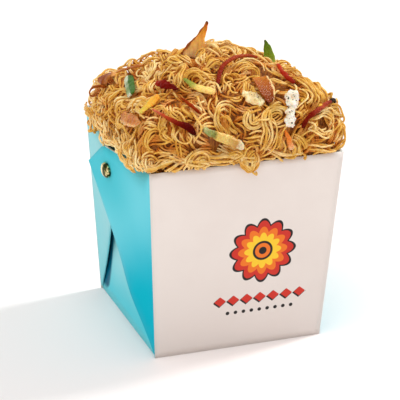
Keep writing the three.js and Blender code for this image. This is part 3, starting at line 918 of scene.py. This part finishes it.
heapCast = castMap(nodeTree(["noodle_heap"]), castSize, True)
heapCast = np.where(np.isnan(heapCast), np.nanmin(heapCast), heapCast)
heapMap = soften(enlarge(heapCast, mapSize), 3)
toppingCast = castMap(nodeTree(toppings), castSize, False)
blocked = enlarge(np.where(np.isnan(toppingCast), 0.0, 1.0), mapSize) > 0.85
hollows = lumpField(mapSize, 3.1, noodle["hollowSize"])
cellColumn, cellRow = np.meshgrid(np.arange(mapSize) + 0.5, np.arange(mapSize) + 0.5)
cellWay = fromMap(cellColumn, cellRow)
target = heapMap - 0.4 + np.minimum(hollows, 0.3) * 2 * noodle["hollowDepth"]
# the sides are packed so that strands stay within the part's box
packedX, packedY = noodle["packed"]
limits = np.minimum(packedX / np.maximum(np.abs(cellWay[..., 0]), 1e-3),
                    packedY / np.maximum(np.abs(cellWay[..., 1]), 1e-3))
target = np.minimum(target, limits - noodle["packedRoom"])
covered = target - noodle["coreDepth"]
core = covered.copy()
cellHeight = heart[2] + cellWay[..., 2] * heapMap
print("heap surveyed")


def surfacePoint(ways):
    column, row = toMap(ways)
    return heart + ways * sample(heapMap, column, row)[..., None]


def unit(vectors):
    return vectors / np.maximum(np.linalg.norm(vectors, axis=-1, keepdims=True), 1e-9)


def inner(a, b):
    return np.sum(a * b, axis=-1, keepdims=True)


# wandering lines over the heap, all at once: points and sideways directions
def wander(starts, headings, bends, stride):
    steps = bends.shape[1]
    points = np.zeros((steps, len(starts), 3))
    sides = np.zeros((steps, len(starts), 3))
    way = unit(starts)
    here = surfacePoint(way)
    ahead = unit(headings - way * inner(headings, way))
    pace = np.full((len(starts), 1), stride)
    for i in range(steps):
        sides[i] = unit(np.cross(ahead, way))
        points[i] = here
        for _ in range(2):
            trial = surfacePoint(unit(here + ahead * pace - heart))
            travel = np.linalg.norm(trial - here, axis=-1, keepdims=True)
            pace = np.clip(pace * stride / np.maximum(travel, 0.2), 0.3 * stride, 2 * stride)
        trial = surfacePoint(unit(here + ahead * pace - heart))
        ahead = unit(trial - here)
        here = trial
        way = unit(here - heart)
        turn = bends[:, i:i + 1] * stride
        ahead = unit(ahead * np.cos(turn) + np.cross(way, ahead) * np.sin(turn))
    return points.transpose(1, 0, 2), sides.transpose(1, 0, 2)


# the cells round its own that a strand covers, and how high it stands over each
cellWidth = 2 * mapReach / mapSize * 52
footprint = [(a, b, math.sqrt(noodle["radius"] ** 2 - (math.hypot(a, b) * cellWidth) ** 2))
             for a in range(-3, 4) for b in range(-3, 4) if math.hypot(a, b) * cellWidth < noodle["radius"]]


# the lowest line a stiff strand takes over the given heights, along the last axis
def drape(rest):
    span = 14
    held = np.pad(rest, ((0, 0), (span, span)), mode="edge")
    line = rest.copy()
    for k in range(-span, span + 1):
        drop = (k * noodle["fineStep"]) ** 2 / (2 * noodle["sag"])
        line = np.maximum(line, held[:, span + k:span + k + rest.shape[1]] - drop)
    smooth = np.pad(line, ((0, 0), (3, 3)), mode="edge")
    return sum(smooth[:, k:k + line.shape[1]] for k in range(7)) / 7


def runsOf(good, least):
    edges = np.flatnonzero(np.diff(np.concatenate([[0], good.astype(int), [0]])))
    return [(a, b) for a, b in zip(edges[::2], edges[1::2]) if b - a >= least]


strands = []          # points, depth, tone and radius of each


# keeps a strand within the part's reach, and above the rim's card
def addStrand(points, depth, tone, radius):
    points[:, 0] = np.clip(points[:, 0], *noodle["outerX"])
    points[:, 1] = np.clip(points[:, 1], *noodle["outerY"])
    halfX, halfY = carton["rimX"] - noodle["rimCover"], carton["rimY"] - noodle["rimCover"]
    overWall = (np.abs(points[:, 0]) > halfX) | (np.abs(points[:, 1]) > halfY)
    clear = carton["height"] + radius + noodle["rimRise"]
    points[:, 2] = np.where(overWall & (points[:, 2] > 90), np.maximum(points[:, 2], clear), points[:, 2])
    strands.append((points, depth, tone, radius))


# waves along a line, each row starting at a place of its own
def sway(along, length, rows=1):
    return np.sin(2 * np.pi * along / length + rng.uniform(0, 6.3, (rows, 1)))


# lays a lock of side-by-side strands on what lies below it
def layLock(points, sides, count, hump, tone, limit):
    stride = noodle["stride"]
    under = limit < 0.5
    fine = np.arange(0, len(points) - 1.01, noodle["fineStep"] / stride)
    whole = fine.astype(int)
    part = (fine - whole)[:, None]
    spine = points[whole] * (1 - part) + points[whole + 1] * part
    across = unit(sides[whole] * (1 - part) + sides[whole + 1] * part)
    along = fine * stride
    size = len(along)

    def wave(low, high, rows=1):
        return sway(along[None], rng.uniform(low, high, (rows, 1)), rows)

    place = np.arange(count)[:, None] - (count - 1) / 2
    squeeze = 1 + 0.3 * wave(30, 70) + 0.12 * wave(12, 24)
    offset = place * noodle["spacing"] * squeeze * rng.uniform(0.9, 1.15)
    offset = offset + rng.uniform(0.05, 0.45, (count, 1)) * wave(7, 18, count)
    offset = offset + rng.uniform(0.0, 1.4, (count, 1)) * wave(24, 60, count)
    ways = unit(spine[None] + across[None] * offset[..., None] - heart)
    column, row = toMap(ways)
    column, row = column.astype(int), row.astype(int)
    inside = (column > 4) & (column < mapSize - 5) & (row > 4) & (row < mapSize - 5)
    column, row = np.clip(column, 4, mapSize - 5), np.clip(row, 4, mapSize - 5)
    rest = np.full(ways.shape[:2], -1e9)
    for a, b, rise in footprint:
        rest = np.maximum(rest, covered[row + b, column + a] + rise)
    # own is where each strand would lie, bank the height that the lock shares
    own = drape(rest)
    bank = np.sort(own, axis=0)[int(count * 0.6)][None]
    arch = hump * (1 - (2 * place / max(count, 2)) ** 2) * (0.75 + 0.25 * wave(20, 50))
    lift = rng.uniform(0, 0.22, (count, 1)) * (1 + wave(7, 18, count))
    line = np.maximum(own - 0.25, 0.5 * own + 0.5 * bank) + arch + lift
    line = np.minimum(line, limits[row, column])
    ceiling = target[row, column] + limit
    middle = line[count // 2] < ceiling[count // 2]
    high = heart[2] + ways[..., 2] * line > lock["lowest"]
    used = 0
    for start, end in runsOf(middle, lock["shortest"]):
        for k in range(count):
            first = start + int(rng.integers(0, lock["ragged"]))
            last = end - int(rng.integers(0, lock["ragged"]))
            free = (inside & high & (under | ~blocked[row, column]))[k, first:last]
            for a, b in runsOf(free, lock["shortestStrand"]):
                a, b = a + first, b + first
                reach, way = line[k, a:b].copy(), ways[k, a:b]
                away = np.minimum(np.arange(b - a), np.arange(b - a)[::-1])
                for da, db, rise in footprint:
                    spot = (row[k, a:b] + db, column[k, a:b] + da)
                    np.maximum.at(covered, spot, np.where(away > 5, reach + rise, 0))
                reach -= lock["dip"] * np.clip(1 - away / lock["dipping"], 0, 1) ** 2
                # depth, how far a strand lies under the heap's surface, sets how much painted shade it gets
                below = target[row[k, a:b], column[k, a:b]] + 0.8 - reach
                depth = np.clip(below / lock["shadeDepth"], 0, 1)
                keep = np.arange(0, b - a, noodle["keepEvery"])
                radius = noodle["radius"] * rng.uniform(0.85, 1.12)
                laid = (heart + way * reach[:, None])[keep]
                addStrand(laid, depth[keep], tone + rng.normal(0, 0.05), radius)
                used += (b - a) * noodle["fineStep"]
    return used


# how sharply each of many lines turns at each step
def bendsFor(count, steps):
    along = np.arange(steps)[None] * noodle["stride"]
    pick = rng.choice([0.08, 0.17, 0.3], p=[0.25, 0.45, 0.3], size=(count, 1))
    wide, tight = rng.uniform(20, 50, (count, 1)), rng.uniform(8, 16, (count, 1))
    drift = rng.normal(0, 0.025, (count, 1))
    bend = drift + pick * sway(along, wide, count)
    small = rng.uniform(0.05, 0.32, (count, 1))
    return bend + small * sway(along, tight, count)


def layNoodles():
    zone = (cellHeight > 99.5) & ~blocked
    toneField = lumpField(mapSize, 8.7, 22)
    made, locks = 0, 0
    stride = noodle["stride"]
    for layer in layers:
        for _ in range(layer["rounds"]):
            lack = np.clip(target + layer["fill"] - covered, 0, 3) ** 2 * zone
            chance = lack.ravel() / lack.sum()
            spots = rng.choice(chance.size, p=chance, size=layer["batch"])
            row, column = np.divmod(spots, mapSize)
            starts = fromMap(column + 0.5, row + 0.5)
            headings = rng.normal(0, 1, (len(spots), 3))
            headings[:, 2] *= np.where(starts[:, 2] < 0.6, 0.4, 1)
            steps = int(layer["length"][1] / stride)
            points, sides = wander(starts, headings, bendsFor(len(spots), steps), stride)
            for i in range(len(spots)):
                tone = 0.52 + 0.45 * toneField[row[i], column[i]] + rng.normal(0, 0.08)
                size = int(rng.uniform(*layer["length"]) / stride)
                count = int(rng.integers(layer["strands"][0], layer["strands"][1] + 1))
                hump = rng.uniform(*layer["hump"])
                made += layLock(points[i, :size], sides[i, :size], count, hump, tone, layer["limit"])
                locks += 1
        print("noodles laid", round(made), "mm,", len(strands), "strands,", locks, "locks")


layNoodles()


def spline(corners, stride):
    corners = np.array(corners, dtype=float)
    ends = np.vstack([2 * corners[0] - corners[1], corners, 2 * corners[-1] - corners[-2]])
    line = []
    for a, b, c, d in zip(ends, ends[1:], ends[2:], ends[3:]):
        t = np.arange(0, 1, stride / max(np.linalg.norm(c - b), stride))[:, None]
        line.append(0.5 * (2 * b + (c - a) * t + (2 * a - 5 * b + 4 * c - d) * t ** 2
                           + (3 * b - a - 3 * c + d) * t ** 3))
    return np.vstack([*line, corners[-1:]])


def wiggle(points, size, wave, shift):
    return np.array([noise.noise_vector(Vector(p / wave) + Vector((shift, 0, 0))) for p in points]) * size


# a lock hanging free, round a line through the given points
def freeLock(corners, count, wide, deep, curl, tone):
    stride = noodle["freeStep"]
    line = spline(corners, stride)
    line = line + wiggle(line, curl, 9, rng.uniform(0, 90))
    line = spline(line[::2], stride)
    ahead = unit(np.gradient(line, axis=0))
    side = unit(np.cross(ahead, np.array([0, 0, 1.0])))
    up = np.cross(side, ahead)
    along = np.arange(len(line)) * stride
    for k in range(count):
        turn = 2 * math.pi * k / count + along * rng.uniform(-0.05, 0.05) + rng.uniform(-0.4, 0.4)
        loose = 1 + 0.3 * sway(along, rng.uniform(9, 20))[0]
        offset = side * (np.cos(turn) * wide * loose)[:, None] + up * (np.sin(turn) * deep * loose)[:, None]
        first, last = rng.integers(0, 4), len(line) - rng.integers(0, 4)
        points = (line + offset)[first:last]
        if len(points) > 6:
            # free locks get a little painted shade, at random
            strands.append((points, np.full(len(points), rng.uniform(0, 0.4)), tone + rng.normal(0, 0.13),
                            noodle["radius"] * rng.uniform(0.85, 1.1)))


# locks that spill over the rim: points, strands, width, depth, curl
spills = (
    ([(-49, 46, 102), (-51.5, 38, 102), (-52.5, 30, 101.5), (-53, 20, 101)], 9, 2.0, 1.5, 1.6),
    ([(-48, 34, 107), (-51, 26, 104), (-53, 20, 103), (-53, 10, 103)], 9, 2.2, 1.5, 1.8),
    ([(-47, 26, 111), (-51, 18, 107), (-53.5, 10, 104.5), (-54, 3, 103)], 9, 2.4, 1.6, 1.8),
    ([(-54, 24, 103), (-55.5, 19, 101), (-56.5, 16, 99), (-56.5, 20, 98)], 7, 1.6, 1.2, 1.6),
    ([(-50, 14, 108), (-54, 8, 104), (-56, 2, 101), (-56.5, -3, 98.5)], 8, 2.0, 1.4, 1.8),
    ([(-49, 8, 107), (-53, 0, 104), (-53.5, -8, 103.5), (-52, -18, 103)], 9, 2.6, 1.8, 2.0),
    ([(-50, -6, 107), (-53, -14, 104.5), (-54, -22, 103), (-53, -30, 102.5)], 9, 2.6, 1.8, 2.0),
    ([(-48, -16, 109), (-52, -24, 105), (-54, -31, 103), (-53.5, -38, 101.5)], 9, 2.6, 1.8, 2.0),
    ([(-50, -28, 106), (-53, -34, 103.5), (-54.5, -39, 101), (-54, -43, 99.5)], 8, 2.0, 1.4, 1.8),
    ([(-48, -34, 106), (-51, -40, 104), (-53, -44, 102), (-52.5, -49, 101.8)], 8, 2.2, 1.4, 1.8),
    ([(-45, -42, 106), (-49, -45, 105), (-51.5, -49, 104), (-51, -52, 102.4)], 9, 2.0, 1.2, 1.6),
    ([(-38, -47, 105), (-44, -49.5, 104), (-49, -51.5, 103.2), (-52, -49, 102)], 9, 1.8, 1.0, 1.6),
    ([(-40, -46, 108), (-34, -49, 105), (-27, -51, 103.5), (-20, -51.5, 102.6)], 9, 2.0, 1.5, 1.6),
    ([(-28, -46, 108), (-22, -49.5, 106), (-15, -51, 103.5), (-8, -51, 102.6)], 9, 2.2, 1.5, 1.6),
    ([(-14, -46.5, 107), (-8, -50, 104.5), (-2, -51.3, 103), (5, -51, 102.6)], 8, 1.8, 1.3, 1.4),
    ([(8, -46, 108), (14, -49.5, 105), (21, -51.5, 103.2), (28, -51, 102.8)], 8, 2.0, 1.3, 1.6),
    ([(26, -46, 107), (33, -49.5, 105), (40, -51, 103), (46, -50, 102.8)], 8, 2.0, 1.3, 1.6),
    ([(-12, -44, 109), (-6, -48, 108), (-3, -51.5, 105), (-2.5, -52.6, 101)], 8, 1.7, 1.1, 0.9),
    ([(-5, -49, 107), (-4, -52, 103.5), (-3.5, -53, 99.5), (0, -52.6, 97), (3.2, -52.8, 99.5),
      (3.5, -52.2, 103), (2, -50, 106)], 7, 1.0, 0.8, 0.5),
    ([(-2.5, -51.5, 104), (-1.5, -52.8, 100), (0.5, -52.6, 98), (1.6, -53, 101), (0.5, -51.5, 104)],
     6, 0.9, 0.8, 0.5),
    ([(0.5, -52.3, 98), (1.8, -52.6, 95.5), (3.2, -52.4, 94.4), (3.4, -52.4, 96)], 2, 0.4, 0.4, 0.4),
    ([(10, -47, 104), (14, -51, 102), (16.3, -52.2, 100), (17.6, -52.4, 98.8)], 3, 0.7, 0.5, 0.8),
    ([(24, -47, 104), (27, -51, 102), (29, -52, 100.5), (28, -52.3, 99)], 2, 0.6, 0.5, 0.8),
)


for spill in spills:
    freeLock(*spill, rng.uniform(0.45, 0.75))
print("spilling locks laid")


def noodleFinish(name, pale, mid, deep):
    # painted light: the strands glow a little in their own shaded colour
    finish = Finish(name, Roughness=0.34, Specular_IOR_Level=0.4, Specular_Tint=(1, 0.75, 0.45, 1),
                    Subsurface_Weight=0.3, Subsurface_Scale=0.0008, Subsurface_Radius=(1.0, 0.8, 0.5),
                    Emission_Strength=0.05)
    tone = finish.attribute("tone")
    depth = finish.attribute("depth")
    patch = finish.grain(6, 3)
    fine = finish.grain(1.5, 2)
    level = tone + (patch - 0.5) * 1.2 + (fine - 0.5) * 0.2
    colour = finish.add("ShaderNodeValToRGB", {"stops": [(0.05, deep), (0.45, mid), (0.95, pale)]},
                        {"Fac": level}, out="Color")
    # painted shade: strands that lie deeper in the heap are darkened towards a deep orange
    deepShade = finish.blend(depth.step(0.1, 0.95) * 0.8, colour, rgb(232, 146, 30), "MULTIPLY")
    relief = finish.bump(finish.grain(0.8, 2), 0.05)
    return finish.use(Base_Color=deepShade, Emission_Color=deepShade, Normal=relief)


noodleSkin = noodleFinish("noodleSkin", rgb(252, 224, 162), rgb(226, 174, 76), rgb(192, 124, 26))


# Geometry Nodes: thin lines to strands of round section
def strandTree():
    tree = bpy.data.node_groups.new("strandsFromLines", "GeometryNodeTree")
    ways = tree.interface
    ways.new_socket("Lines", in_out="INPUT", socket_type="NodeSocketGeometry")
    ways.new_socket("Sides", in_out="INPUT", socket_type="NodeSocketInt")
    ways.new_socket("Finish", in_out="INPUT", socket_type="NodeSocketMaterial")
    ways.new_socket("Strands", in_out="OUTPUT", socket_type="NodeSocketGeometry")
    add = tree.nodes.new
    source, result = add("NodeGroupInput"), add("NodeGroupOutput")
    curve, circle = add("GeometryNodeMeshToCurve"), add("GeometryNodeCurvePrimitiveCircle")
    thick, sweep = add("GeometryNodeInputNamedAttribute"), add("GeometryNodeCurveToMesh")
    smooth = add("GeometryNodeSetShadeSmooth")
    real, paint = add("GeometryNodeRealizeInstances"), add("GeometryNodeSetMaterial")
    thick.data_type = "FLOAT"
    thick.inputs["Name"].default_value = "thick"
    circle.inputs["Radius"].default_value = 1.0
    sweep.inputs["Fill Caps"].default_value = True
    link = tree.links.new
    link(source.outputs["Lines"], curve.inputs["Mesh"])
    link(source.outputs["Sides"], circle.inputs["Resolution"])
    link(curve.outputs["Curve"], sweep.inputs["Curve"])
    link(circle.outputs["Curve"], sweep.inputs["Profile Curve"])
    link(thick.outputs["Attribute"], sweep.inputs["Scale"])
    link(sweep.outputs["Mesh"], smooth.inputs["Geometry"])
    link(smooth.outputs["Geometry"], real.inputs["Geometry"])
    link(real.outputs["Geometry"], paint.inputs["Geometry"])
    link(source.outputs["Finish"], paint.inputs["Material"])
    link(paint.outputs["Geometry"], result.inputs["Strands"])
    return tree


def strandPiece(name, group, tree, material):
    count = sum(len(s[0]) for s in group)
    points, edges = np.zeros((count, 3)), []
    tone, depth, thick = np.zeros(count), np.zeros(count), np.zeros(count)
    at = 0
    for line, deep, level, radius in group:
        size = len(line)
        points[at:at + size] = line * mm
        tone[at:at + size] = level
        depth[at:at + size] = deep
        ends = np.minimum(np.arange(size), np.arange(size)[::-1])
        thick[at:at + size] = radius * mm * np.where(ends == 0, 0.7, 1.0)
        edges += [(k, k + 1) for k in range(at, at + size - 1)]
        at += size
    mesh = bpy.data.meshes.new(name)
    mesh.from_pydata(points.tolist(), edges, [])
    for label, values in (("tone", tone), ("depth", depth), ("thick", thick)):
        mesh.attributes.new(label, "FLOAT", "POINT").data.foreach_set("value", values)
    piece = addObject(name, mesh)
    modifier = piece.modifiers.new("strands", "NODES")
    modifier.node_group = tree
    names = {item.name: item.identifier for item in tree.interface.items_tree if item.in_out == "INPUT"}
    modifier[names["Sides"]] = noodle["sides"]
    modifier[names["Finish"]] = material
    applyModifiers(piece)
    return settle(piece, "noodle", "noodle_heap")


def buildStrands():
    tree = strandTree()
    most = 190000        # triangles in one piece
    groups, load = [[]], 0
    for strand in strands:
        cost = len(strand[0]) * noodle["sides"] * 2
        if load + cost > most:
            groups.append([])
            load = 0
        groups[-1].append(strand)
        load += cost
    for i, group in enumerate(groups):
        piece = strandPiece(f"noodleStrands{i + 1}", group, tree, noodleSkin)
        print(piece.name, len(piece.data.polygons), "faces")


buildStrands()


# what lies under the strands: a closed body in brown relief, its brown darker than the strands as painted
# shade for the gaps between them
def coreFinish():
    finish = Finish("noodleCore", Roughness=0.6)
    swirl = finish.grain(1.3, 4, (1, 1, 2.2))
    colour = finish.blend(swirl.step(0.35, 0.7), rgb(128, 66, 4), rgb(206, 130, 32))
    return finish.use(Base_Color=colour, Normal=finish.bump(swirl, 1.2))


coreShape = dict(turns=160, rings=60, widest=1.32, levels=(92, 50, 1.1), gap=0.6, corner=9)


# domed rings over the heap's map, then rounded squares down into the carton
def buildCore():
    turns, rings, corner = (coreShape[k] for k in ("turns", "rings", "corner"))
    points, faces = [], []
    for i in range(1, rings + 1):
        polar = coreShape["widest"] * i / rings
        for j in range(turns):
            angle = 2 * math.pi * j / turns
            way = np.array([math.sin(polar) * math.cos(angle), math.sin(polar) * math.sin(angle),
                            math.cos(polar)])
            column, row = toMap(way[None])
            reach = float(sample(core, column, row)[0]) - 0.2
            ripple = 0.5 * noise.noise(Vector(way * usual / 1.6))
            points.append(heart + way * (reach + ripple))
    for z in coreShape["levels"]:
        halfX, halfY = halfAt(z)
        halfX -= carton["inset"] + carton["board"] + coreShape["gap"]
        halfY -= carton["board"] + coreShape["gap"]
        for j in range(turns):
            angle = 2 * math.pi * j / turns
            k = (abs(math.cos(angle)) ** corner + abs(math.sin(angle)) ** corner) ** (-1 / corner)
            points.append(np.array([halfX * k * math.cos(angle), halfY * k * math.sin(angle), z]))
    inX = halfAt(95)[0] - 2
    inY = halfAt(95)[1] - 1.2
    for p in points:
        if p[2] < 101.5:
            p[0] = max(-inX, min(inX, p[0]))
            p[1] = max(-inY, min(inY, p[1]))
    levels = rings + len(coreShape["levels"])
    for i in range(levels - 1):
        for j in range(turns):
            k = (j + 1) % turns
            faces.append((i * turns + j, (i + 1) * turns + j, (i + 1) * turns + k, i * turns + k))
    faces.append(tuple(range(turns - 1, -1, -1)))
    last = (levels - 1) * turns
    faces.append(tuple(range(last, last + turns)))
    piece = outward(makePiece("noodleCore", points, faces, [coreFinish()]))
    return settle(piece, "noodle", "noodle_heap")


buildCore()
print("noodles made")
